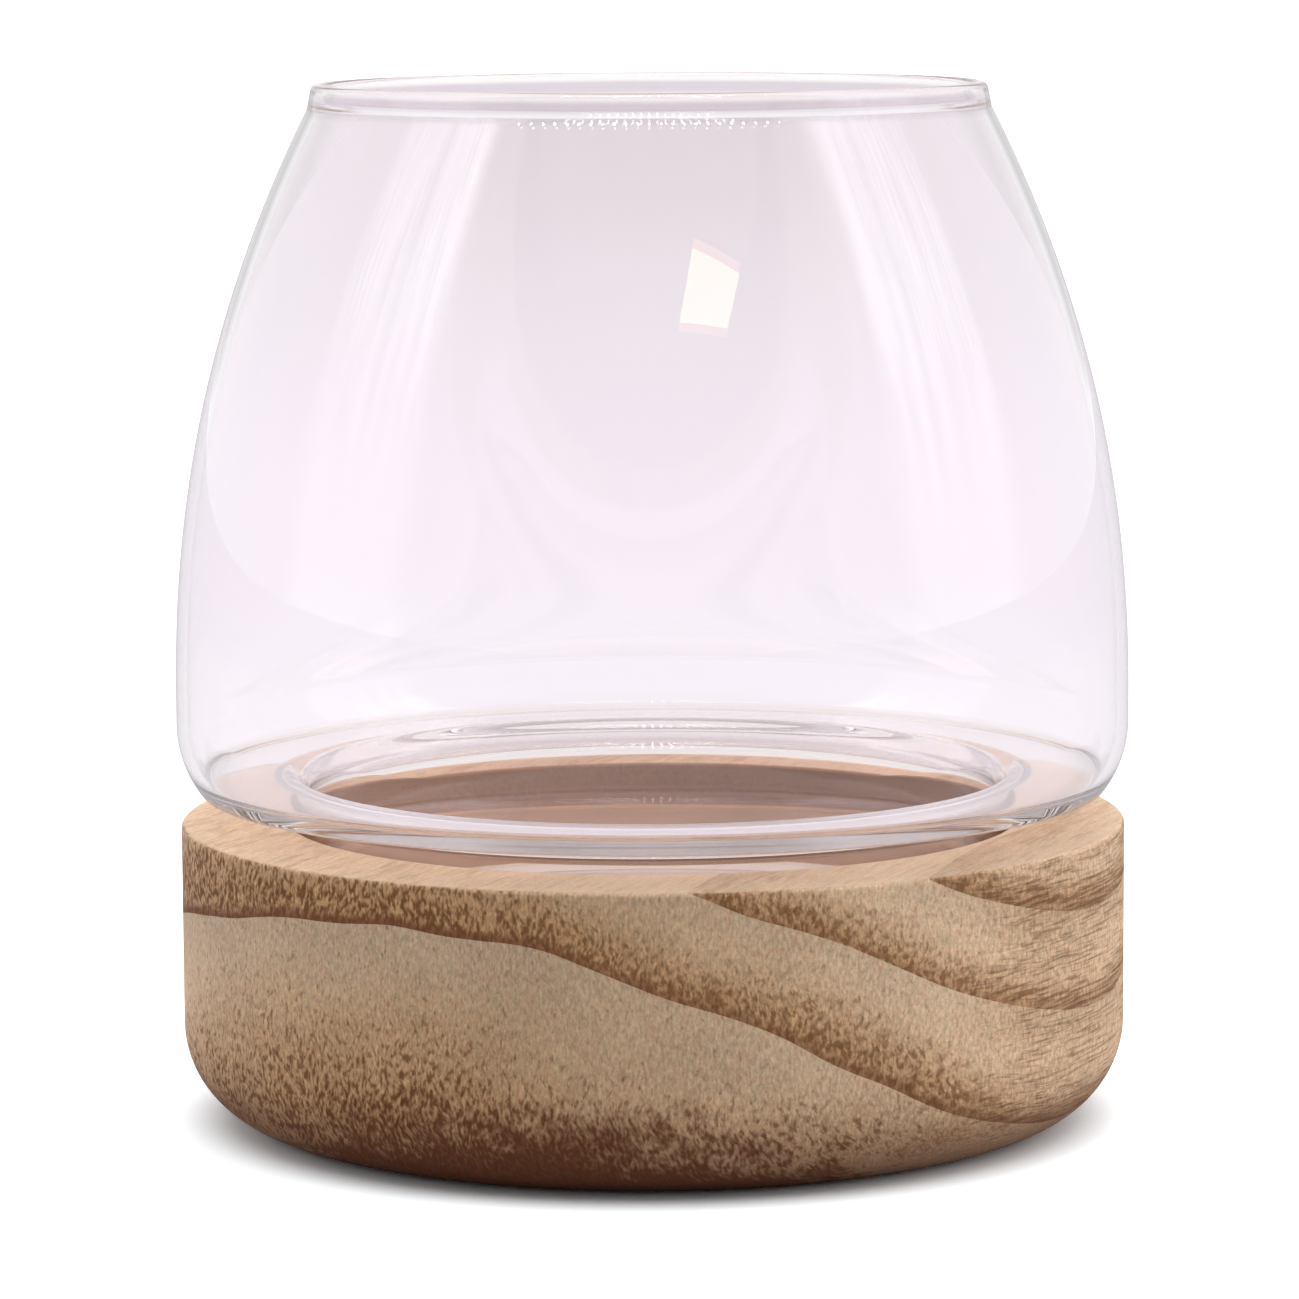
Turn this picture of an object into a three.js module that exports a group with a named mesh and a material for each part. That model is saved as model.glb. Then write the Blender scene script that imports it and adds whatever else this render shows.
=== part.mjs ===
// Glass terrarium: an open blown-glass vessel whose foot drops into a recess in a solid wooden base.
// Millimetres, +Z up, with both pieces turned about +Z. The origin is the centre of the base's underside.

import * as THREE from 'three';

// Wooden base
const BASE_HEIGHT = 47.8;
const BASE_FOOT_ROUND = 16; // the full rounding between the side and the underside
const RING_WIDTH = 17.2; // the flat top between the recess and the side
const RING_EDGE_ROUND = 0.8; // the sanded outer arris of the ring
const RECESS_RADIUS = 57.8;
const RECESS_DEPTH = 10.5;
const RECESS_LIP_ROUND = 0.6;
const RECESS_FLOOR_ROUND = 0.8;

// How the vessel stands in the base
const FOOT_PLAY = 0.8; // all round the foot, so that it drops in by hand
const SEAT_GAP = 0.3; // below the foot
const SHOULDER_LIFT = 4.8; // the open gap between the ring and the vessel's shoulder

// Glass vessel
const WALL = 1.8;
const FLOOR_THICKNESS = 2;
const FOOT_ROUND = 5;
const SHOULDER_THICKNESS = 2.8; // the glass gathers where the foot was blown out of the shoulder
const SHOULDER_HOLLOW_ROUND = 3.6; // the outside hollow where the foot meets the flat shoulder
const WELL_MOUTH_ROUND = 3.2; // the inside edge above that hollow
const HEEL_EDGE_ROUND = 1.2; // where the shoulder turns up into the heel
const HEEL_RADIUS = 17.7; // the curve from the shoulder's edge up to the belly
const HEEL_RISE = 11.1; // from the shoulder to where the belly reaches its full width
const INNER_HEEL_ROUND = 2;
const BELLY_OVERHANG = 18.6; // how far the belly stands out past the foot
const BELLY_BAND = 3.9; // the upright stretch at full width
const WALL_RISE = 92.2; // from the belly band up to the neck
const WALL_SWELL = 2.15; // power of the wall's inward curve: 1 is a cone, and more stays upright longer
const NECK_RADIUS = 54.1;
const LIP_START = 0.8; // from the neck on along the wall to where the melted lip turns up
const LIP_RISE = 3.7; // from there to the top
const LIP_WIDTH = 2.1; // a little thicker than the wall
const LIP_LEAN = 0.7; // how far its outer face still draws in
const LIP_TOP_ROUND = 1;
const LIP_FOOT_ROUND = 1.5;

// Smoothness
const TURN_STEPS = 64; // facets round each piece
const ROUND_STEPS = 4; // along a small rounding
const FOOT_ROUND_STEPS = 10; // along the base's large rounding
const HEEL_STEPS = 6;
const WALL_STEPS = 10;

// Worked out from the sizes above, with the vessel's heights counted from the underside of its foot
const BASE_RADIUS = RECESS_RADIUS + RING_WIDTH;
const FOOT_RADIUS = RECESS_RADIUS - FOOT_PLAY;
const SHOULDER_HEIGHT = RECESS_DEPTH - SEAT_GAP + SHOULDER_LIFT;
const BELLY_RADIUS = FOOT_RADIUS + BELLY_OVERHANG;
const BELLY_HEIGHT = SHOULDER_HEIGHT + HEEL_RISE;

const FLAT_DOWN = -Math.PI / 2;

/** Point at an angle on a circle, in an outline's plane of radius and height. */
function onCircle(centre, radius, angle) {
  return new THREE.Vector2(centre.x + radius * Math.cos(angle), centre.y + radius * Math.sin(angle));
}

/** Points along an arc, both ends included. */
function arc(centre, radius, from, to, steps) {
  const points = [];
  for (let i = 0; i <= steps; i++) {
    points.push(onCircle(centre, radius, from + ((to - from) * i) / steps));
  }
  return points;
}

/** The arc that replaces a sharp corner between two straight runs. */
function roundedCorner(before, corner, after, radius, steps = ROUND_STEPS) {
  const back = before.clone().sub(corner).normalize();
  const ahead = after.clone().sub(corner).normalize();
  const halfAngle = Math.acos(back.dot(ahead)) / 2;
  const towardsCentre = back.clone().add(ahead).normalize();
  const centre = towardsCentre.multiplyScalar(radius / Math.sin(halfAngle)).add(corner);
  const tangentLength = radius / Math.tan(halfAngle);
  const start = back.multiplyScalar(tangentLength).add(corner).sub(centre).angle();
  const end = ahead.multiplyScalar(tangentLength).add(corner).sub(centre).angle();
  const sweep = THREE.MathUtils.euclideanModulo(end - start + Math.PI, 2 * Math.PI) - Math.PI;
  return arc(centre, radius, start, start + sweep, steps);
}

/** Straight runs through the corners given, with each corner that has a round turned into an arc. */
function roundedRun(corners) {
  const points = corners.map(({ r, z }) => new THREE.Vector2(r, z));
  return corners.flatMap(({ round, steps }, i) =>
    round ? roundedCorner(points[i - 1], points[i], points[i + 1], round, steps) : [points[i]],
  );
}

/** A solid turned about +Z from a closed half outline that starts and ends on the axis. */
function turned(outline) {
  return new THREE.LatheGeometry(outline, TURN_STEPS).rotateX(Math.PI / 2);
}

/** Half outline of the base, from the underside's centre round to the recess floor's centre. */
function baseOutline() {
  const recessFloor = BASE_HEIGHT - RECESS_DEPTH;
  return roundedRun([
    { r: 0, z: 0 },
    { r: BASE_RADIUS, z: 0, round: BASE_FOOT_ROUND, steps: FOOT_ROUND_STEPS },
    { r: BASE_RADIUS, z: BASE_HEIGHT, round: RING_EDGE_ROUND },
    { r: RECESS_RADIUS, z: BASE_HEIGHT, round: RECESS_LIP_ROUND },
    { r: RECESS_RADIUS, z: recessFloor, round: RECESS_FLOOR_ROUND },
    { r: 0, z: recessFloor },
  ]);
}

/** The wall's outer point and outward direction at a share of the rise from the belly band to the neck. */
function wallAt(share) {
  const draw = BELLY_RADIUS - NECK_RADIUS;
  const height = BELLY_HEIGHT + BELLY_BAND + WALL_RISE * share;
  const point = new THREE.Vector2(BELLY_RADIUS - draw * share ** WALL_SWELL, height);
  const slope = (-draw * WALL_SWELL * share ** (WALL_SWELL - 1)) / WALL_RISE;
  return { point, outward: new THREE.Vector2(1, -slope).normalize() };
}

/** The swelling wall from the belly band up to the neck, set in from the outer face by a depth. */
function wallRun(depth) {
  const points = [];
  for (let i = 0; i <= WALL_STEPS; i++) {
    const { point, outward } = wallAt(i / WALL_STEPS);
    points.push(point.addScaledVector(outward, -depth));
  }
  return points;
}

/** The rounded turn from a flat level up into the heel's curve, set in from the outer face by a depth. */
function heelRun(level, depth, edgeRound) {
  const heelCentre = new THREE.Vector2(BELLY_RADIUS - HEEL_RADIUS, BELLY_HEIGHT);
  const heelRadius = HEEL_RADIUS - depth;
  const drop = BELLY_HEIGHT - level - edgeRound;
  const angle = -Math.asin(drop / (heelRadius - edgeRound));
  const edgeCentre = onCircle(heelCentre, heelRadius - edgeRound, angle);
  return [
    ...arc(edgeCentre, edgeRound, FLAT_DOWN, angle, ROUND_STEPS),
    ...arc(heelCentre, heelRadius, angle, 0, HEEL_STEPS).slice(1),
  ];
}

/** The upright lip of the melted rim, over the wall from its outer face to its inner face. */
function rimLip() {
  const { point, outward } = wallAt(1);
  const along = new THREE.Vector2(-outward.y, outward.x);
  const outerFoot = point.clone().addScaledVector(along, LIP_START);
  const outerTop = new THREE.Vector2(outerFoot.x - LIP_LEAN, outerFoot.y + LIP_RISE);
  const innerTop = new THREE.Vector2(outerTop.x - LIP_WIDTH, outerTop.y);
  const innerNeck = point.clone().addScaledVector(outward, -WALL);
  const innerFootRadius = innerTop.x + LIP_LEAN / 2;
  const innerFoot = innerNeck.clone().addScaledVector(along, (innerNeck.x - innerFootRadius) / outward.y);
  return roundedRun([
    { r: point.x, z: point.y },
    { r: outerFoot.x, z: outerFoot.y, round: LIP_FOOT_ROUND },
    { r: outerTop.x, z: outerTop.y, round: LIP_TOP_ROUND },
    { r: innerTop.x, z: innerTop.y, round: LIP_TOP_ROUND },
    { r: innerFoot.x, z: innerFoot.y, round: LIP_FOOT_ROUND },
    { r: innerNeck.x, z: innerNeck.y },
  ]).slice(1, -1);
}

/** Half outline of the vessel, from the foot's underside out and up over the rim, and down to the floor. */
function vesselOutline() {
  const wellRadius = FOOT_RADIUS - WALL;
  const innerShoulder = SHOULDER_HEIGHT + SHOULDER_THICKNESS;
  const outerHeel = heelRun(SHOULDER_HEIGHT, 0, HEEL_EDGE_ROUND);
  const innerHeel = heelRun(innerShoulder, WALL, INNER_HEEL_ROUND).reverse();
  const foot = roundedRun([
    { r: 0, z: 0 },
    { r: FOOT_RADIUS, z: 0, round: FOOT_ROUND },
    { r: FOOT_RADIUS, z: SHOULDER_HEIGHT, round: SHOULDER_HOLLOW_ROUND },
    { r: outerHeel[0].x, z: SHOULDER_HEIGHT },
  ]).slice(0, -1);
  const well = roundedRun([
    { r: innerHeel.at(-1).x, z: innerShoulder },
    { r: wellRadius, z: innerShoulder, round: WELL_MOUTH_ROUND },
    { r: wellRadius, z: FLOOR_THICKNESS, round: FOOT_ROUND - WALL },
    { r: 0, z: FLOOR_THICKNESS },
  ]).slice(1);
  const outside = [...foot, ...outerHeel, ...wallRun(0)];
  const inside = [...wallRun(WALL).reverse(), ...innerHeel, ...well];
  return [...outside, ...rimLip(), ...inside];
}

const paleWood = new THREE.MeshStandardMaterial({ color: 0xc9a783, roughness: 0.75, metalness: 0 });
const clearGlass = new THREE.MeshStandardMaterial({
  color: 0xf3eef4, roughness: 0.03, metalness: 0, transparent: true, opacity: 0.3,
});

const woodenBase = new THREE.Mesh(turned(baseOutline()), paleWood);
woodenBase.name = 'wooden_base';

const glassVessel = new THREE.Mesh(turned(vesselOutline()), clearGlass);
glassVessel.name = 'glass_vessel';
glassVessel.position.z = BASE_HEIGHT - RECESS_DEPTH + SEAT_GAP;

const terrarium = new THREE.Group();
terrarium.add(woodenBase, glassVessel);

export default terrarium;
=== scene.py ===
"""Glass terrarium: a blown glass vessel with a stepped foot, standing in the recess of a turned wooden base.

Everything stands in the frame of the CAD part: metres, +Z up, the origin at the centre of the base's
underside. Sizes in the classes are in millimetres, as a turner or a glass blower would give them.
"""

import logging
import math
from collections.abc import Mapping, Sequence
from dataclasses import dataclass, field
from enum import Enum

import bmesh
import bpy
from mathutils import Matrix, Vector


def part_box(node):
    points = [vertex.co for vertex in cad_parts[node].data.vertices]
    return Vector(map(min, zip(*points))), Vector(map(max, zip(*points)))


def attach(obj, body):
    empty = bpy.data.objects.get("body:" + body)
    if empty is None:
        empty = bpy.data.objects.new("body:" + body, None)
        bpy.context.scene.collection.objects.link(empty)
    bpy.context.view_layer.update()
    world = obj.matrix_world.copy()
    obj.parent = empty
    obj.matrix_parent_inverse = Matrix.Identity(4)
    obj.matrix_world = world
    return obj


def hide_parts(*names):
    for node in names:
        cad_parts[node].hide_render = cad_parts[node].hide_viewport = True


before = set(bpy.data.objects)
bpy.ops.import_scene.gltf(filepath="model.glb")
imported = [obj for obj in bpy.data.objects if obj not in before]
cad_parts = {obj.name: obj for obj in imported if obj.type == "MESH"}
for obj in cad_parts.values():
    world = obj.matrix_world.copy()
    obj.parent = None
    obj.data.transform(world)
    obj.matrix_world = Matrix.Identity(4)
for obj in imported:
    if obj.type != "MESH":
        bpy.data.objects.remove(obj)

MM = 0.001
FLAT_DOWN = -math.pi / 2

log = logging.getLogger("terrarium")


class Ray(Enum):
    """The kinds of ray that the studio answers in their own way, by their Light Path output."""

    CAMERA = "Is Camera Ray"
    GLOSSY = "Is Glossy Ray"
    TRANSMISSION = "Is Transmission Ray"
    SHADOW = "Is Shadow Ray"


class Value:
    """A number that changes over a surface. Its operators add Math nodes to the tree that it belongs to."""

    def __init__(self, tree: "Tree", socket: bpy.types.NodeSocket) -> None:
        """Wraps an output socket of a tree."""
        self.tree = tree
        self.socket = socket

    def _maths(self, operation: str, *terms: "Value | float") -> "Value":
        """Adds one Math node.

        Args:
            operation: The node's operation.
            terms: Its values, in the order of its sockets.

        Returns:
            The node's result.
        """
        made = self.tree.node("ShaderNodeMath", {"operation": operation}, dict(enumerate(terms)))
        return Value(self.tree, made.outputs[0])

    def __add__(self, other: "Value | float") -> "Value":
        """Sum."""
        return self._maths("ADD", self, other)

    def __radd__(self, other: float) -> "Value":
        """Sum, with the number first."""
        return self._maths("ADD", other, self)

    def __sub__(self, other: "Value | float") -> "Value":
        """Difference."""
        return self._maths("SUBTRACT", self, other)

    def __rsub__(self, other: float) -> "Value":
        """Difference, with the number first."""
        return self._maths("SUBTRACT", other, self)

    def __mul__(self, other: "Value | float") -> "Value":
        """Product."""
        return self._maths("MULTIPLY", self, other)

    def __rmul__(self, other: float) -> "Value":
        """Product, with the number first."""
        return self._maths("MULTIPLY", other, self)

    def __truediv__(self, other: "Value | float") -> "Value":
        """Quotient."""
        return self._maths("DIVIDE", self, other)

    def __rtruediv__(self, other: float) -> "Value":
        """Quotient, with the number first."""
        return self._maths("DIVIDE", other, self)

    def __pow__(self, power: float) -> "Value":
        """Power."""
        return self._maths("POWER", self, power)

    def __gt__(self, other: "Value | float") -> "Value":
        """1 where this is the greater, and 0 elsewhere."""
        return self._maths("GREATER_THAN", self, other)

    def __lt__(self, other: "Value | float") -> "Value":
        """1 where this is the smaller, and 0 elsewhere."""
        return self._maths("LESS_THAN", self, other)

    def rounded(self) -> "Value":
        """The nearest whole number."""
        return self._maths("ROUND", self)

    def __abs__(self) -> "Value":
        """Size without the sign."""
        return self._maths("ABSOLUTE", self)

    def most(self, other: "Value | float") -> "Value":
        """The greater of the two."""
        return self._maths("MAXIMUM", self, other)

    def least(self, other: "Value | float") -> "Value":
        """The smaller of the two."""
        return self._maths("MINIMUM", self, other)

    def turn_from(self, other: "Value") -> "Value":
        """Angle whose sine goes with this value and whose cosine goes with the other."""
        return self._maths("ARCTAN2", self, other)

    def eased(self, start: "Value | float", end: "Value | float") -> "Value":
        """A smooth step over a range.

        Args:
            start: Where the step is 0.
            end: Where it is 1. It may lie below start.

        Returns:
            The step, from 0 to 1.
        """
        made = self.tree.node(
            "ShaderNodeMapRange",
            {"interpolation_type": "SMOOTHSTEP"},
            {"Value": self, "From Min": start, "From Max": end},
        )
        return Value(self.tree, made.outputs["Result"])


Colour = tuple[float, float, float]


class Tree:
    """The nodes of one material or world."""

    def __init__(self, owner: bpy.types.Material | bpy.types.World) -> None:
        """Starts an empty tree on a material or world."""
        owner.use_nodes = True
        self.nodes = owner.node_tree.nodes
        self.links = owner.node_tree.links
        self.nodes.clear()

    def node(
        self,
        kind: str,
        settings: Mapping[str, object] | None = None,
        inputs: Mapping[str | int, object] | None = None,
    ) -> bpy.types.Node:
        """Adds any node.

        Args:
            kind: The node's type.
            settings: Its own options, set before its sockets.
            inputs: A number, colour, vector, value or output socket for each input named or numbered.

        Returns:
            The new node.
        """
        made = self.nodes.new(kind)
        for name, choice in (settings or {}).items():
            setattr(made, name, choice)
        for name, given in (inputs or {}).items():
            self.feed(made.inputs[name], given)
        return made

    def feed(self, socket: bpy.types.NodeSocket, given: object) -> None:
        """Links a socket to a value or an output, or sets it to a plain number, colour or vector.

        Args:
            socket: The input to feed.
            given: What feeds it.
        """
        if isinstance(given, Value):
            self.links.new(given.socket, socket)
        elif isinstance(given, bpy.types.NodeSocket):
            self.links.new(given, socket)
        elif socket.type == "RGBA" and len(given) == 3:
            socket.default_value = (*given, 1.0)
        else:
            socket.default_value = given

    def place(self) -> bpy.types.NodeSocket:
        """The point on the piece, in metres, at rest."""
        return self.node("ShaderNodeTexCoord").outputs["Object"]

    def facing(self) -> bpy.types.NodeSocket:
        """The way that the piece's surface faces, at rest."""
        return self.node("ShaderNodeTexCoord").outputs["Normal"]

    def ray(self, kind: Ray) -> Value:
        """1 for rays of one kind, and 0 for all others."""
        return Value(self, self.node("ShaderNodeLightPath").outputs[kind.value])

    def glint(self) -> Value:
        """1 for rays mirrored no more than once and never by a matt surface, and 0 for the rest."""
        path = self.node("ShaderNodeLightPath").outputs
        return (Value(self, path["Diffuse Depth"]) < 0.5) * (Value(self, path["Glossy Depth"]) < 1.5)

    def along(self, vector: bpy.types.NodeSocket, axis: Sequence[float]) -> Value:
        """How far a vector reaches along an axis.

        Args:
            vector: An output that gives a vector.
            axis: The axis, whose length scales the result.

        Returns:
            The dot product.
        """
        made = self.node("ShaderNodeVectorMath", {"operation": "DOT_PRODUCT"}, {0: vector, 1: tuple(axis)})
        return Value(self, made.outputs["Value"])

    def vector(self, x: "Value | float", y: "Value | float", z: "Value | float") -> bpy.types.NodeSocket:
        """A vector from three values."""
        return self.node("ShaderNodeCombineXYZ", {}, {"X": x, "Y": y, "Z": z}).outputs["Vector"]

    def noise(self, vector: bpy.types.NodeSocket, detail: float = 0.0, roughness: float = 0.5) -> Value:
        """Soft cloudy noise with one blob or so to each unit of the vector.

        Args:
            vector: Where on the surface, in units of the blobs wanted.
            detail: How many finer layers are added.
            roughness: How strong each finer layer is.

        Returns:
            A value around 0.5, nearly always between 0.1 and 0.9.
        """
        inputs = {"Vector": vector, "Scale": 1.0, "Detail": detail, "Roughness": roughness}
        return Value(self, self.node("ShaderNodeTexNoise", {}, inputs).outputs["Fac"])

    def mixed(self, share: "Value | float", first: object, second: object) -> bpy.types.NodeSocket:
        """Blends two colours.

        Args:
            share: 0 for the first colour, 1 for the second.
            first: A colour or an output that gives one.
            second: A colour or an output that gives one.

        Returns:
            The blended colour.
        """
        settings = {"data_type": "RGBA", "clamp_factor": True}
        made = self.node("ShaderNodeMix", settings, {0: share, 6: first, 7: second})
        return made.outputs[2]

    def scaled(self, colour: object, share: "Value | float") -> bpy.types.NodeSocket:
        """A colour made darker or lighter by a value."""
        made = self.node("ShaderNodeVectorMath", {"operation": "SCALE"}, {0: colour, "Scale": share})
        return made.outputs["Vector"]


# Outlines

@dataclass(frozen=True)
class Corner:
    """A corner of a half outline: its radius from the axis, its height and the rounding that replaces it."""

    r: float
    z: float
    round: float = 0.0
    steps: int = 8


def on_circle(centre: Vector, radius: float, angle: float) -> Vector:
    """Point at an angle on a circle, in an outline's plane of radius and height."""
    return centre + radius * Vector((math.cos(angle), math.sin(angle)))


def arc(centre: Vector, radius: float, start: float, end: float, steps: int) -> list[Vector]:
    """Points along an arc.

    Args:
        centre: The arc's centre.
        radius: Its radius.
        start: Its first angle.
        end: Its last angle.
        steps: How many straight steps stand for it.

    Returns:
        The points, both ends included.
    """
    return [on_circle(centre, radius, start + (end - start) * i / steps) for i in range(steps + 1)]


def rounded_corner(before: Vector, corner: Vector, after: Vector, radius: float, steps: int) -> list[Vector]:
    """The arc that replaces a sharp corner between two straight runs.

    Args:
        before: The point before the corner.
        corner: The corner.
        after: The point after it.
        radius: The rounding's radius.
        steps: How many straight steps stand for it.

    Returns:
        The arc's points.
    """
    back = (before - corner).normalized()
    ahead = (after - corner).normalized()
    half_angle = math.acos(back.dot(ahead)) / 2
    centre = corner + (back + ahead).normalized() * radius / math.sin(half_angle)
    tangent = radius / math.tan(half_angle)
    first = corner + back * tangent - centre
    last = corner + ahead * tangent - centre
    start = math.atan2(first.y, first.x)
    sweep = (math.atan2(last.y, last.x) - start + math.pi) % (2 * math.pi) - math.pi
    return arc(centre, radius, start, start + sweep, steps)


def rounded_run(corners: Sequence[Corner]) -> list[Vector]:
    """Straight runs through corners, with each corner that has a rounding turned into an arc.

    Args:
        corners: The corners in order. The first and last have no rounding.

    Returns:
        The run's points.
    """
    places = [Vector((corner.r, corner.z)) for corner in corners]
    points: list[Vector] = []
    for i, corner in enumerate(corners):
        if corner.round:
            points += rounded_corner(places[i - 1], places[i], places[i + 1], corner.round, corner.steps)
        else:
            points.append(places[i])
    return points


@dataclass(frozen=True)
class Lathe:
    """Turns a half outline about +Z into a smooth closed piece."""

    turn_steps: int
    long_run: float = 1.5  # a straight stretch longer than this gets a short step at each end
    end_step: float = 0.12  # the length of that step, which keeps the shading of flats flat

    def supported(self, outline: Sequence[Vector]) -> list[Vector]:
        """Adds the short end steps to an outline's long straight stretches.

        Args:
            outline: The half outline.

        Returns:
            The outline with its added points.
        """
        points = [outline[0]]
        for start, end in zip(outline, outline[1:]):
            run = end - start
            if run.length > self.long_run:
                step = run.normalized() * self.end_step
                points += [start + step, end - step]
            points.append(end)
        return points

    def turn(self, name: str, outline: Sequence[Vector]) -> bpy.types.Object:
        """Makes the turned piece.

        Args:
            name: The piece's name.
            outline: The half outline in millimetres, from the axis outwards, up and back to the axis.

        Returns:
            The piece, linked to the scene.
        """
        builder = bmesh.new()
        rings = [self._ring(builder, point) for point in self.supported(outline)]
        for lower, upper in zip(rings, rings[1:]):
            for k in range(self.turn_steps):
                ahead = (k + 1) % self.turn_steps
                corners = (lower[k], lower[ahead], upper[ahead], upper[k])
                builder.faces.new(dict.fromkeys(corners))
        for face in builder.faces:
            face.smooth = True
        mesh = bpy.data.meshes.new(name)
        builder.to_mesh(mesh)
        builder.free()
        piece = bpy.data.objects.new(name, mesh)
        bpy.context.scene.collection.objects.link(piece)
        return piece

    def _ring(self, builder: bmesh.types.BMesh, point: Vector) -> list[bmesh.types.BMVert]:
        """The corners that one outline point turns into: one on the axis, or a whole ring.

        Args:
            builder: The mesh that is being built.
            point: The outline point in millimetres.

        Returns:
            One entry for each step of the turn.
        """
        radius, height = point * MM
        if radius == 0:
            return [builder.verts.new((0, 0, height))] * self.turn_steps
        turns = [2 * math.pi * k / self.turn_steps for k in range(self.turn_steps)]
        return [builder.verts.new((radius * math.cos(a), radius * math.sin(a), height)) for a in turns]


# Finishes

@dataclass(frozen=True)
class TimberFinish:
    """Bare turned hardwood, coloured as a solid block is, with growth lines about a pith below the base, and
    painted shade in the recess, on the rounded underside and on the top ring.
    """

    recess_radius: float
    fibre_turn: float = math.radians(21)  # the fibres lie level, this far from +Y towards +X
    pith_across: float = -20.0
    pith_height: float = -88.5
    growth_lines: tuple[float, ...] = (60.0, 92.5, 130.0, 146.0, 158.0, 170.0, 181.0)  # radii about the pith
    wander: float = 1.2  # how far a growth line strays from its circle
    side_grain: Colour = (0.775, 0.565, 0.4)
    end_grain: Colour = (0.43, 0.288, 0.178)
    pore_field: Colour = (0.36, 0.182, 0.07)  # the wood among crowded pores
    late_grey: Colour = (0.4, 0.31, 0.225)  # the dense wood just inside each growth line
    ruddy: Colour = (0.5, 0.25, 0.13)
    olive: Colour = (0.33, 0.27, 0.13)
    line_brown: Colour = (0.135, 0.045, 0.016)
    pore_brown: Colour = (0.12, 0.043, 0.012)
    # painted shade: the recess's walls and floor darkened, standing for the shadow inside it
    recess_painted_shade: Colour = (0.35, 0.19, 0.109)
    # colours the scorch patch, and also the painted shade on the rounded underside
    scorch_and_shade_brown: Colour = (0.105, 0.028, 0.0085)
    scorch_centre: tuple[float, float] = (-19.0, -75.0)
    scorch_height: float = 12.0

    def material(self) -> bpy.types.Material:
        """Makes the material.

        Returns:
            The finished material.
        """
        made = bpy.data.materials.new("turned_hardwood")
        tree = Tree(made)
        place = tree.place()
        sine, cosine = math.sin(self.fibre_turn), math.cos(self.fibre_turn)
        across = tree.along(place, (cosine / MM, -sine / MM, 0))
        length = tree.along(place, (sine / MM, cosine / MM, 0))
        up = tree.along(place, (0, 0, 1 / MM))
        end_on = abs(tree.along(tree.facing(), (sine, cosine, 0)))
        top = abs(tree.along(tree.facing(), (0, 0, 1))).eased(0.6, 0.95)
        recess = ((across**2 + length**2) ** 0.5).eased(self.recess_radius + 0.7, self.recess_radius + 0.1)

        radius, since, share = self._growth(tree, across, length, up)
        ragged = tree.noise(tree.vector(across / 1.6, up / 1.6, length / 18), detail=1)
        rightwards = across.eased(-10, 28)
        line = (since + (ragged - 0.5) * (1.1 + rightwards * 2.2)).eased(2.2, 0.3)
        line = line * (0.42 + 0.58 * radius.eased(143, 134)) * (1 - top * 0.5) * (1 - rightwards * 0.3)
        clump = tree.noise(tree.vector(across / 4.5, up / 4.5, length / 40), detail=2)
        spread = 1 - 0.06 * radius.eased(144, 148) + 0.7 * across.eased(-35, -58) * radius.eased(128, 131)
        crowd = (share / spread).eased(0.85 - rightwards * 0.14, 0.15 - rightwards * 0.1)
        crowd = crowd.most(up.eased(22, 6) * (1 - across.eased(5, 45) * 0.3))
        side_on = end_on.eased(0.6, 0.3)
        crowd = crowd.most(side_on * (1 - top) * 0.5)
        crowd = (crowd * (0.62 + clump * 0.85)).least(1.0)
        cells = self._cells(tree, across, length, up, side_on)
        level = 0.69 - 0.19 * crowd
        pore = cells.eased(level - 0.13, level + 0.13)
        grit = tree.noise(tree.vector(across / 0.4, up / 1.15, length / 0.7), detail=2, roughness=0.65)
        fibre = tree.noise(tree.vector(across / 0.3, up / 0.3, length / 16), detail=2)
        tint = tree.noise(tree.vector(across / 1.2, up / 1.7, length / 9), detail=3, roughness=0.7)
        broad = tree.noise(tree.vector(across / 13, up / 13, length / 60), detail=1)

        timber = tree.mixed(end_on ** 1.3, self.side_grain, self.end_grain)
        dense = share.eased(0.62, 0.98) * (1 - top) * (0.55 - rightwards * 0.25)
        timber = tree.mixed(dense, timber, self.late_grey)
        timber = tree.mixed((tint - 0.5) * 1.9, timber, self.ruddy)
        timber = tree.mixed((0.48 - tint) * 1.5, timber, self.olive)
        timber = tree.mixed(crowd * 0.68 * (1 - top * 0.8), timber, self.pore_field)
        # painted shade inside the recess, weaker on its floor
        timber = tree.mixed(recess * (0.85 - top * 0.42), timber, self.recess_painted_shade)
        rough = (1 - top * 0.72) * (1 - recess * 0.8)
        # shade holds grain tone from the noises and also painted shade: the top ring is a little darker than
        # the sides
        shade = 1.03 - top * 0.05 + (grit - 0.5) * (1.25 + crowd * 0.8) * rough
        shade = shade + (fibre - 0.5) * 0.36 + (broad - 0.5) * 0.25
        # painted shade: the top ring darker towards its front and right
        shade = shade - tree.along(place, (0.35 / MM, -1 / MM, 0)).eased(20, 70) * top * 0.17
        timber = tree.scaled(timber, shade)
        open_pore = pore * (0.58 + 0.34 * crowd) * (1 - top * 0.75) * (1 - recess * 0.9)
        open_pore = open_pore * (1 - rightwards * 0.22)
        timber = tree.mixed(open_pore, timber, self.pore_brown)
        timber = tree.mixed(line * 0.85 * (1 - recess * 0.9), timber, self.line_brown)
        # the scorch patch, and the painted shade on the underside
        timber = tree.mixed(self._scorch_and_underside_shade(tree, place, up, cells, clump), timber, self.scorch_and_shade_brown)

        height = grit * 0.3 * rough + fibre * 0.1 - pore * 0.8 * rough - line * 0.3
        bump = tree.node("ShaderNodeBump", {}, {"Strength": 0.8, "Distance": 0.14 * MM, "Height": height})
        surface = tree.node(
            "ShaderNodeBsdfPrincipled",
            {},
            {
                "Base Color": timber,
                "Roughness": 0.62 + 0.16 * pore,
                "Specular IOR Level": 0.22,
                "Normal": bump.outputs["Normal"],
            },
        )
        tree.node("ShaderNodeOutputMaterial", {}, {"Surface": surface.outputs["BSDF"]})
        return made

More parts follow.
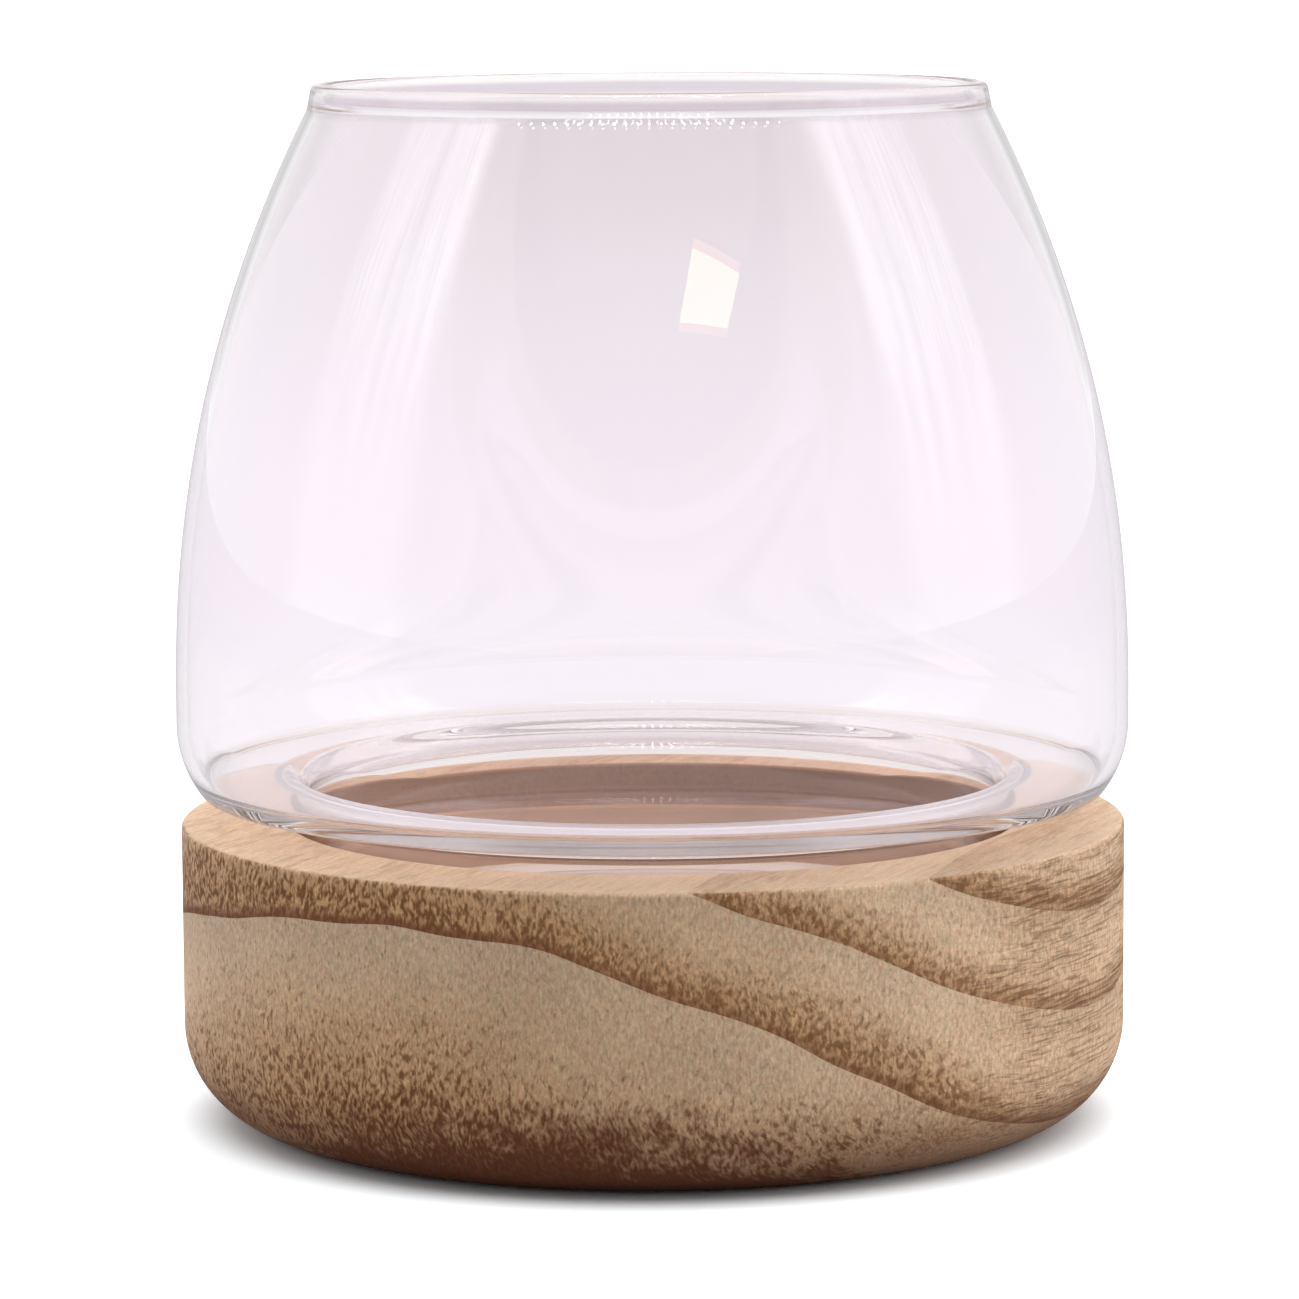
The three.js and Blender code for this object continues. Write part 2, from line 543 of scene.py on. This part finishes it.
    def _cells(self, tree: Tree, across: Value, length: Value, up: Value, side_on: Value) -> Value:
        """The noise that makes the pores: short leaning dashes end on, and long level ones side on.

        Args:
            tree: The material's nodes.
            across: Place across the fibres, in millimetres.
            length: Place along the fibres.
            up: Height.
            side_on: 1 where the surface runs along the fibres, 0 where it cuts across them.

        Returns:
            The noise, around 0.5.
        """
        lean = tree.noise(tree.vector(across / 6, up / 6, length / 30), detail=1) - 0.5
        short = tree.noise(
            tree.vector((across + lean * 3) / 0.6, up / 1.3, length / 9), detail=1.6, roughness=0.55
        )
        long = tree.noise(
            tree.vector(across / 2.2, (up + lean * 2) / 0.5, length / 11), detail=2, roughness=0.6
        )
        return short + (long - short) * side_on

    def _growth(self, tree: Tree, across: Value, length: Value, up: Value) -> tuple[Value, Value, Value]:
        """Where a point lies between two growth lines.

        Args:
            tree: The material's nodes.
            across: Place across the fibres, in millimetres.
            length: Place along the fibres.
            up: Height.

        Returns:
            The distance from the pith and from the last line in millimetres, and the share of the way to
            the next line.
        """
        stray = tree.noise(tree.vector(across / 18, up / 18, length / 55), detail=0.4) - 0.5
        radius = ((across - self.pith_across) ** 2 + (up - self.pith_height) ** 2) ** 0.5
        radius = radius + stray * (3.2 * self.wander)
        lines = self.growth_lines
        gaps = [outer - inner for inner, outer in zip(lines, lines[1:])]
        last, gap = lines[0], gaps[0]
        for i in range(1, len(gaps)):
            passed = radius > lines[i]
            last = last + passed * gaps[i - 1]
            gap = gap + passed * (gaps[i] - gaps[i - 1])
        since = radius - last
        return radius, since, since / gap

    def _scorch_and_underside_shade(
        self, tree: Tree, place: bpy.types.NodeSocket, up: Value, cells: Value, clump: Value
    ) -> Value:
        """The reddish brown scorch patch low on the front, with an edge that breaks up into pores, and
        painted shade over the rounded underside.

        Args:
            tree: The material's nodes.
            place: The point on the piece, in metres.
            up: Height in millimetres.
            cells: The noise that makes the pores.
            clump: The noise that gathers them.

        Returns:
            The strength of the scorch and of the painted shade, from 0 to 1.
        """
        aside = tree.along(place, (1 / MM, 0, 0)) - self.scorch_centre[0]
        behind = tree.along(place, (0, 1 / MM, 0)) - self.scorch_centre[1]
        reach = self.scorch_height - 0.0032 * aside**2 - 0.003 * behind**2
        edge = reach - up + (cells - 0.5) * 15 + (clump - 0.5) * 14
        deep = edge.eased(-8.0, 5.5) * 0.94
        # painted shade: all of the base below about 13 mm darkened, standing for the shade beneath the
        # rounded foot
        underside_shade = (up + (cells - 0.5) * 12).eased(13, 1) * 0.66
        return deep.most(underside_shade)


@dataclass(frozen=True)
class GlassFinish:
    """Clear blown glass with a faint cool pink cast, a little greyer towards the mouth, with painted light
    and shade on parts of it.
    """

    belly_tint: Colour = (0.972, 0.929, 0.976)
    # greyer towards the mouth: partly the glass's own tint, partly painted shade standing for the darker
    # room seen through the upper glass
    mouth_tint_and_shade: Colour = (0.918, 0.878, 0.908)
    # painted light: the lowest band of the glass made paler
    low_painted_light_tint: Colour = (0.997, 0.967, 0.996)
    # painted shade: the rim's lip and a thin band at its foot greyed, standing for the dark lines that the
    # thick rim shows
    lip_painted_shade_tint: Colour = (0.75, 0.69, 0.738)
    lip_top_tint: Colour = (1.0, 0.985, 0.99)
    # painted: a warm tint on the shoulder band, standing for the wood seen through the glass there
    shoulder_painted_wood_tint: Colour = (0.9, 0.85, 0.83)
    # painted shade: glass seen edge on is darkened, standing for the dark outline that refraction gives
    outline_shade_tint: Colour = (0.6, 0.57, 0.6)
    shadow_tint: Colour = (0.98, 0.975, 0.985)
    tint_from: float = 95.0
    tint_to: float = 160.0
    low_from: float = 84.0
    low_to: float = 66.0
    bend: float = 1.5
    thick_tint: Colour = (0.5, 0.44, 0.5)
    thick_density: float = 3.2  # per metre: 12 mm of glass keeps 98 % of the light

    def material(self) -> bpy.types.Material:
        """Makes the material.

        Returns:
            The finished material.
        """
        made = bpy.data.materials.new("blown_glass")
        tree = Tree(made)
        up = tree.along(tree.place(), (0, 0, 1 / MM))
        # partly tint, partly painted shade, rising towards the mouth
        tint = tree.mixed(up.eased(self.tint_from, self.tint_to), self.belly_tint, self.mouth_tint_and_shade)
        # painted light on the lowest band of the glass
        tint = tree.mixed(up.eased(self.low_from, self.low_to), tint, self.low_painted_light_tint)
        # painted warm tint over the shoulder band
        shoulder = up.eased(56.0, 55.5) * up.eased(43, 50)
        tint = tree.mixed(shoulder, tint, self.shoulder_painted_wood_tint)
        # painted shade on the lip and on a thin band at its foot
        lip_foot_shade = up.eased(159.2, 159.8) * up.eased(160.6, 160.1)
        tint = tree.mixed(up.eased(160.7, 161.6).most(lip_foot_shade * 0.6), tint, self.lip_painted_shade_tint)
        # the top of the lip stays nearly clear, above the painted shade
        tint = tree.mixed(up.eased(162.4, 163.2), tint, self.lip_top_tint)
        # painted shade along the glass's outlines, where it is seen edge on
        edge = Value(tree, tree.node("ShaderNodeLayerWeight", {}, {"Blend": 0.5}).outputs["Facing"])
        glass = tree.node(
            "ShaderNodeBsdfPrincipled",
            {},
            {
                "Base Color": tree.mixed(edge.eased(0.86, 0.97), tint, self.outline_shade_tint),
                "Roughness": 0.0,
                "IOR": self.bend,
                "Transmission Weight": 1.0,
            },
        )
        clear = tree.node("ShaderNodeBsdfTransparent", {}, {"Color": self.shadow_tint})
        either = {0: tree.ray(Ray.SHADOW), 1: glass.outputs["BSDF"], 2: clear.outputs["BSDF"]}
        surface = tree.node("ShaderNodeMixShader", {}, either)
        depth = {"Color": self.thick_tint, "Density": self.thick_density}
        inside = tree.node("ShaderNodeVolumeAbsorption", {}, depth)
        both = {"Surface": surface.outputs["Shader"], "Volume": inside.outputs["Volume"]}
        tree.node("ShaderNodeOutputMaterial", {}, both)
        return made


@dataclass(frozen=True)
class FloorFinish:
    """Plain matt white floor, whose brightness is set apart for the camera, for mirrors and for the rest."""

    white: Colour = (0.725, 0.725, 0.725)
    bright_white: Colour = (1.29, 1.34, 1.38)  # for the camera, so that only the shadow shows
    mirrored_white: Colour = (0.47, 0.45, 0.475)  # so that the outline of the glass shows

    def material(self) -> bpy.types.Material:
        """Makes the material.

        Returns:
            The finished material.
        """
        made = bpy.data.materials.new("pale_floor")
        tree = Tree(made)
        mirror = tree.ray(Ray.GLOSSY) * (1 - tree.ray(Ray.TRANSMISSION))
        colour = tree.mixed(mirror, self.white, self.mirrored_white)
        colour = tree.mixed(tree.ray(Ray.CAMERA), colour, self.bright_white)
        surface = tree.node("ShaderNodeBsdfDiffuse", {}, {"Color": colour})
        tree.node("ShaderNodeOutputMaterial", {}, {"Surface": surface.outputs["BSDF"]})
        return made


@dataclass(frozen=True)
class GlowFinish:
    """A shining card or pane."""

    name: str
    colour: Colour
    strength: float

    def material(self) -> bpy.types.Material:
        """Makes the material.

        Returns:
            The finished material.
        """
        made = bpy.data.materials.new(self.name)
        tree = Tree(made)
        surface = tree.node("ShaderNodeEmission", {}, {"Color": self.colour, "Strength": self.strength})
        tree.node("ShaderNodeOutputMaterial", {}, {"Surface": surface.outputs["Emission"]})
        return made


# The terrarium

@dataclass
class WoodenBase:
    """Solid turned base: flat ring on top, deep recess for the vessel's foot, fully rounded lower edge."""

    radius: float
    height: float
    foot_round: float = 16.0
    ring_width: float = 17.2
    ring_edge_round: float = 0.8
    recess_depth: float = 10.5
    recess_lip_round: float = 0.6
    recess_floor_round: float = 0.8

    @property
    def recess_radius(self) -> float:
        """Radius of the recess."""
        return self.radius - self.ring_width

    @property
    def recess_floor(self) -> float:
        """Height of the recess's floor."""
        return self.height - self.recess_depth

    def outline(self) -> list[Vector]:
        """Half outline, from the underside's centre round to the recess floor's centre."""
        return rounded_run(
            [
                Corner(0, 0),
                Corner(self.radius, 0, self.foot_round, 24),
                Corner(self.radius, self.height, self.ring_edge_round),
                Corner(self.recess_radius, self.height, self.recess_lip_round),
                Corner(self.recess_radius, self.recess_floor, self.recess_floor_round),
                Corner(0, self.recess_floor),
            ]
        )

    def build(self) -> bpy.types.Object:
        """Turns the base, gives it its finish and body, and hides the CAD part that it replaces.

        Returns:
            The base.
        """
        piece = Lathe(turn_steps=192).turn("turned_base", self.outline())
        piece.data.materials.append(TimberFinish(self.recess_radius).material())
        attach(piece, "base")
        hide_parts("wooden_base")
        return piece


@dataclass
class GlassVessel:
    """Blown vessel in one piece, with a stepped foot, thick flat shoulder, tight heel and upright lip."""

    seat_height: float  # of the foot's underside
    foot_radius: float
    shoulder_height: float  # all heights below are counted from the foot's underside
    wall: float = 1.8
    floor_thickness: float = 2.0
    foot_round: float = 5.0
    shoulder_thickness: float = 2.8
    shoulder_hollow_round: float = 3.6
    well_mouth_round: float = 3.2
    heel_edge_round: float = 1.2
    heel_radius: float = 17.7
    heel_rise: float = 11.1
    inner_heel_round: float = 2.0
    belly_overhang: float = 18.6
    belly_band: float = 3.9
    wall_rise: float = 92.2
    wall_swell: float = 2.15
    neck_radius: float = 54.1
    lip_start: float = 0.8
    lip_rise: float = 3.7
    lip_width: float = 2.1
    lip_lean: float = 0.7
    lip_top_round: float = 1.0
    lip_foot_round: float = 1.5
    heel_steps: int = 30
    wall_steps: int = 120
    lip_steps: int = 10
    finish: GlassFinish = field(default_factory=GlassFinish)

    @property
    def belly_radius(self) -> float:
        """Greatest radius of the vessel."""
        return self.foot_radius + self.belly_overhang

    @property
    def belly_height(self) -> float:
        """Height at which the belly reaches its full width."""
        return self.shoulder_height + self.heel_rise

    def wall_at(self, share: float) -> tuple[Vector, Vector]:
        """A point of the wall's outer face.

        Args:
            share: How far up it is, from 0 at the belly band to 1 at the neck.

        Returns:
            The point, and the direction straight out of the wall.
        """
        draw = self.belly_radius - self.neck_radius
        height = self.belly_height + self.belly_band + self.wall_rise * share
        slope = -draw * self.wall_swell * share ** (self.wall_swell - 1) / self.wall_rise
        point = Vector((self.belly_radius - draw * share**self.wall_swell, height))
        return point, Vector((1, -slope)).normalized()

    def wall_run(self, depth: float) -> list[Vector]:
        """The swelling wall from the belly band up to the neck, set in from the outer face by a depth."""
        stations = [self.wall_at(i / self.wall_steps) for i in range(self.wall_steps + 1)]
        return [point - outward * depth for point, outward in stations]

    def heel_run(self, level: float, depth: float, edge_round: float) -> list[Vector]:
        """The rounded turn from a flat level up into the heel's curve.

        Args:
            level: Height of the flat.
            depth: How far the curve is set in from the outer face.
            edge_round: Rounding between the flat and the curve.

        Returns:
            The turn's points, from the flat up to the belly.
        """
        centre = Vector((self.belly_radius - self.heel_radius, self.belly_height))
        radius = self.heel_radius - depth
        drop = self.belly_height - level - edge_round
        angle = -math.asin(drop / (radius - edge_round))
        edge_centre = on_circle(centre, radius - edge_round, angle)
        edge = arc(edge_centre, edge_round, FLAT_DOWN, angle, 10)
        return edge + arc(centre, radius, angle, 0, self.heel_steps)[1:]

    def rim_lip(self) -> list[Vector]:
        """The upright lip of the melted rim, over the wall from its outer face to its inner face."""
        point, outward = self.wall_at(1)
        upwards = Vector((-outward.y, outward.x))
        outer_foot = point + upwards * self.lip_start
        outer_top = outer_foot + Vector((-self.lip_lean, self.lip_rise))
        inner_top = outer_top - Vector((self.lip_width, 0))
        inner_neck = point - outward * self.wall
        inner_foot_radius = inner_top.x + self.lip_lean / 2
        inner_foot = inner_neck + upwards * ((inner_neck.x - inner_foot_radius) / outward.y)
        return rounded_run(
            [
                Corner(*point),
                Corner(*outer_foot, self.lip_foot_round, self.lip_steps),
                Corner(*outer_top, self.lip_top_round, self.lip_steps),
                Corner(*inner_top, self.lip_top_round, self.lip_steps),
                Corner(*inner_foot, self.lip_foot_round, self.lip_steps),
                Corner(*inner_neck),
            ]
        )[1:-1]

    def outline(self) -> list[Vector]:
        """Half outline, from the foot's underside out, up over the rim and down to the floor's centre."""
        well_radius = self.foot_radius - self.wall
        inner_shoulder = self.shoulder_height + self.shoulder_thickness
        outer_heel = self.heel_run(self.shoulder_height, 0, self.heel_edge_round)
        inner_heel = self.heel_run(inner_shoulder, self.wall, self.inner_heel_round)[::-1]
        foot = rounded_run(
            [
                Corner(0, 0),
                Corner(self.foot_radius, 0, self.foot_round, 12),
                Corner(self.foot_radius, self.shoulder_height, self.shoulder_hollow_round, 14),
                Corner(outer_heel[0].x, self.shoulder_height),
            ]
        )[:-1]
        well = rounded_run(
            [
                Corner(inner_heel[-1].x, inner_shoulder),
                Corner(well_radius, inner_shoulder, self.well_mouth_round, 14),
                Corner(well_radius, self.floor_thickness, self.foot_round - self.wall, 12),
                Corner(0, self.floor_thickness),
            ]
        )[1:]
        outside = foot + outer_heel + self.wall_run(0)
        inside = self.wall_run(self.wall)[::-1] + inner_heel + well
        lift = Vector((0, self.seat_height))
        return [point + lift for point in outside + self.rim_lip() + inside]

    def build(self) -> bpy.types.Object:
        """Turns the vessel, gives it its finish and body, and hides the CAD part that it replaces.

        Returns:
            The vessel.
        """
        piece = Lathe(turn_steps=256).turn("blown_vessel", self.outline())
        piece.data.materials.append(self.finish.material())
        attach(piece, "vessel")
        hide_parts("glass_vessel")
        return piece


# The studio

@dataclass(frozen=True)
class Glow:
    """A patch of the room that the glass mirrors, in degrees as seen from the object."""

    left: float
    right: float
    low: float
    high: float
    brightness: float
    side_fade: float = 3.0
    end_fade: float = 8.0
    stripes: float = 0.0  # how far upright stripes break it up

    def share(self, tree: Tree, turn: Value, rise: Value) -> Value:
        """How much of the room is this patch, in each direction.

        Args:
            tree: The world's nodes.
            turn: Degrees round from the camera's side, positive to the right.
            rise: Degrees above the horizon.

        Returns:
            1 inside the patch, 0 outside and smooth between.
        """
        sides = turn.eased(self.left - self.side_fade, self.left + self.side_fade)
        sides = sides * turn.eased(self.right + self.side_fade, self.right - self.side_fade)
        ends = rise.eased(self.low - self.end_fade, self.low + self.end_fade)
        ends = ends * rise.eased(self.high + self.end_fade, self.high - self.end_fade)
        if self.stripes:
            bands = tree.noise(tree.vector(turn / 2.6, rise / 22, self.left), detail=2, roughness=0.65)
            ends = ends * (1 - bands.eased(0.65, 0.38) * self.stripes)
        return sides * ends


@dataclass(frozen=True)
class BulbRow:
    """A level row of small bulbs, which the rim and the foot mirror as points of light."""

    rise: float
    droop: float  # how far its ends hang lower, for each square degree to the side
    reach: float  # degrees to each side
    spacing: float
    width: float
    height: float
    brightness: float

    def light(self, tree: Tree, turn: Value, rise: Value) -> Value:
        """How much light the row adds in each direction.

        Args:
            tree: The world's nodes.
            turn: Degrees round from the camera's side.
            rise: Degrees above the horizon.

        Returns:
            The light, with none for rays that have left a matt surface.
        """
        place = turn / self.spacing
        aside = (place - place.rounded()) * (self.spacing / self.width)
        above = rise + turn**2 * self.droop - self.rise
        away = (aside**2 + (above / self.height) ** 2) ** 0.5
        return away.eased(1.0, 0.6) * (self.reach > abs(turn)) * self.brightness


@dataclass(frozen=True)
class Room:
    """The white light tent: even light for matt surfaces, and its open front for the glass to mirror."""

    front_fill: float = 0.26
    side_fill: float = 0.8
    white: float = 1.0
    patches: tuple[Glow, ...] = (
        Glow(-62, 62, 40, 60, 0.2, 3, 10),
        Glow(-97, -63, -14, 14, 1.4, 5, 8),
        Glow(66, 100, -14, 14, 1.4, 5, 8),
        Glow(-97, -63, 16, 60, 2.3, 4.0, 12, stripes=0.75),
        Glow(-75, -63, 26, 60, 3.2, 1.5, 9, stripes=0.75),
        Glow(67, 101, 14, 60, 2.6, 4.0, 12, stripes=0.75),
        Glow(66, 78, 26, 60, 3.0, 2.2, 9, stripes=0.75),
        Glow(157, 171, -20, 42, 0.7, 2, 8),
        Glow(-171, -157, -20, 42, 0.7, 2, 8),
    )
    bulbs: tuple[BulbRow, ...] = (
        BulbRow(50.9, 0.00175, 54, 4.9, 0.45, 0.14, 90),
        BulbRow(61, 0, 46, 4.4, 0.65, 5.0, 30),
        BulbRow(75, 0, 50, 7, 1.0, 5.0, 30),
    )

    def build(self) -> bpy.types.World:
        """Makes the world.

        Returns:
            The world, already the scene's own.
        """
        world = bpy.data.worlds.new("light_tent")
        bpy.context.scene.world = world
        world.cycles.sampling_method = "NONE"
        tree = Tree(world)
        towards = tree.node("ShaderNodeTexCoord").outputs["Generated"]
        aside = tree.along(towards, (1, 0, 0))
        nearer = tree.along(towards, (0, -1, 0))
        up = tree.along(towards, (0, 0, 1))
        turn = aside.turn_from(nearer) * math.degrees(1)
        rise = up.turn_from((aside**2 + nearer**2) ** 0.5) * math.degrees(1)
        mirrored = self.white
        for patch in self.patches:
            share = patch.share(tree, turn, rise)
            mirrored = (1 - share) * mirrored + share * patch.brightness
        for row in self.bulbs:
            mirrored = mirrored + row.light(tree, turn, rise) * tree.glint()
        fill = self.side_fill - nearer.eased(-0.2, 0.7) * (self.side_fill - self.front_fill)
        camera = tree.ray(Ray.CAMERA)
        seen_in_glass = tree.ray(Ray.GLOSSY).most(tree.ray(Ray.TRANSMISSION))
        lit = seen_in_glass * mirrored + (1 - seen_in_glass) * fill
        strength = camera * self.white + (1 - camera) * lit
        background = tree.node("ShaderNodeBackground", {}, {"Color": (1, 1, 1), "Strength": strength})
        tree.node("ShaderNodeOutputWorld", {}, {"Surface": background.outputs["Background"]})
        return world


@dataclass(frozen=True)
class Lamp:
    """One broad soft lamp, which lights matt surfaces and isn't mirrored."""

    name: str
    turn: float  # degrees round from the camera's side, positive to the right
    rise: float
    spread: float
    strength: float

    def build(self) -> bpy.types.Object:
        """Makes the lamp.

        Returns:
            The lamp.
        """
        light = bpy.data.lights.new(self.name, "SUN")
        light.energy = self.strength
        light.angle = math.radians(self.spread)
        light.cycles.use_multiple_importance_sampling = False
        lamp = bpy.data.objects.new(self.name, light)
        lamp.rotation_euler = (math.radians(90 - self.rise), 0, math.radians(self.turn))
        lamp.visible_glossy = False
        lamp.visible_transmission = False
        bpy.context.scene.collection.objects.link(lamp)
        return lamp


@dataclass(frozen=True)
class WindowPane:
    """A lit pane that the glass mirrors, given by the directions of its corners from the object."""

    name: str
    corners: tuple[tuple[float, float], ...]
    finish: GlowFinish
    distance: float = 1400.0
    centre_height: float = 135.0

    def build(self) -> bpy.types.Object:
        """Makes the pane, which only the glass shows.

        Returns:
            The pane.
        """
        builder = bmesh.new()
        for turn, rise in self.corners:
            turn, rise = math.radians(turn), math.radians(rise)
            level = self.distance * math.cos(rise)
            height = self.centre_height + self.distance * math.sin(rise)
            builder.verts.new(Vector((level * math.sin(turn), -level * math.cos(turn), height)) * MM)
        builder.faces.new(builder.verts)
        mesh = bpy.data.meshes.new(self.name)
        builder.to_mesh(mesh)
        builder.free()
        mesh.materials.append(self.finish.material())
        pane = bpy.data.objects.new(self.name, mesh)
        pane.visible_camera = False
        pane.visible_diffuse = False
        pane.visible_transmission = False
        pane.visible_shadow = False
        bpy.context.scene.collection.objects.link(pane)
        return pane


@dataclass(frozen=True)
class Floor:
    """Plain pale floor."""

    reach: float = 16000.0
    finish: FloorFinish = FloorFinish()

    def build(self) -> bpy.types.Object:
        """Makes the floor.

        Returns:
            The floor.
        """
        builder = bmesh.new()
        bmesh.ops.create_grid(builder, x_segments=1, y_segments=1, size=self.reach * MM)
        mesh = bpy.data.meshes.new("floor")
        builder.to_mesh(mesh)
        builder.free()
        mesh.materials.append(self.finish.material())
        floor = bpy.data.objects.new("floor", mesh)
        bpy.context.scene.collection.objects.link(floor)
        return floor


@dataclass(frozen=True)
class PhotoCamera:
    """The photograph's camera, worked out from five circles of the object seen in perspective."""

    distance: float = 932.2
    aside: float = -0.4
    height: float = 193.85
    pitch: float = 7.305  # degrees below level
    roll: float = -0.3  # degrees, with the camera's left side down
    focal_pixels: float = 5910.6
    photo_width: int = 1299
    sensor_width: float = 36.0

    def build(self) -> bpy.types.Object:
        """Makes the camera.

        Returns:
            The camera, already the scene's own.
        """
        lens = bpy.data.cameras.new("photo_camera")
        lens.sensor_width = self.sensor_width
        lens.lens = self.sensor_width * self.focal_pixels / self.photo_width
        camera = bpy.data.objects.new("photo_camera", lens)
        camera.location = Vector((self.aside, -self.distance, self.height)) * MM
        pitched = Matrix.Rotation(math.radians(90 - self.pitch), 3, "X")
        camera.rotation_euler = (pitched @ Matrix.Rotation(math.radians(self.roll), 3, "Z")).to_euler()
        bpy.context.scene.collection.objects.link(camera)
        bpy.context.scene.camera = camera
        return camera


@dataclass
class Studio:
    """Floor, room, lamps and camera."""

    floor: Floor = Floor()
    room: Room = Room()
    panes: tuple[WindowPane, ...] = (
        WindowPane(
            "warm_pane",
            ((13.3, 37.6), (26.9, 34.2), (21.3, 29.2), (8.1, 30.4)),
            GlowFinish("warm_pane", (1.0, 0.95, 0.6), 6.0),
        ),
        WindowPane(
            "pink_frame",
            ((13.9, 38.6), (27.6, 35.2), (21.0, 28.3), (7.6, 29.5)),
            GlowFinish("pink_frame", (1.0, 0.55, 0.46), 3.0),
            distance=1420.0,
        ),
    )
    camera: PhotoCamera = PhotoCamera()
    lamps: tuple[Lamp, ...] = (
        Lamp("overhead_softbox", 0, 84, 70, 1.84),
        Lamp("right_softbox", 80, 32, 60, 0.82),
        Lamp("left_softbox", -85, 32, 60, 0.3),
    )
    glass_bounces: int = 160

    def build(self) -> None:
        """Sets the whole studio up."""
        self.camera.build()
        self.floor.build()
        self.room.build()
        for pane in self.panes:
            pane.build()
        for lamp in self.lamps:
            lamp.build()
        scene = bpy.context.scene
        scene.view_settings.view_transform = "Standard"
        scene.cycles.max_bounces = self.glass_bounces
        scene.cycles.transmission_bounces = self.glass_bounces
        scene.cycles.glossy_bounces = self.glass_bounces


def main() -> None:
    """Builds the studio and the terrarium."""
    logging.basicConfig(level=logging.INFO, format="%(name)s: %(message)s")
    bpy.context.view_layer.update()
    Studio().build()
    log.info("studio is set up")

    base_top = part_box("wooden_base")[1] / MM
    base = WoodenBase(radius=base_top.x, height=base_top.z)
    piece = base.build()
    log.info("%s: %d faces", piece.name, len(piece.data.polygons))

    foot_play, shoulder_lift = 0.8, 4.8
    seat_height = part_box("glass_vessel")[0].z / MM
    vessel = GlassVessel(
        seat_height=seat_height,
        foot_radius=base.recess_radius - foot_play,
        shoulder_height=base.height + shoulder_lift - seat_height,
    )
    piece = vessel.build()
    log.info("%s: %d faces", piece.name, len(piece.data.polygons))


if __name__ == "__main__":
    main()
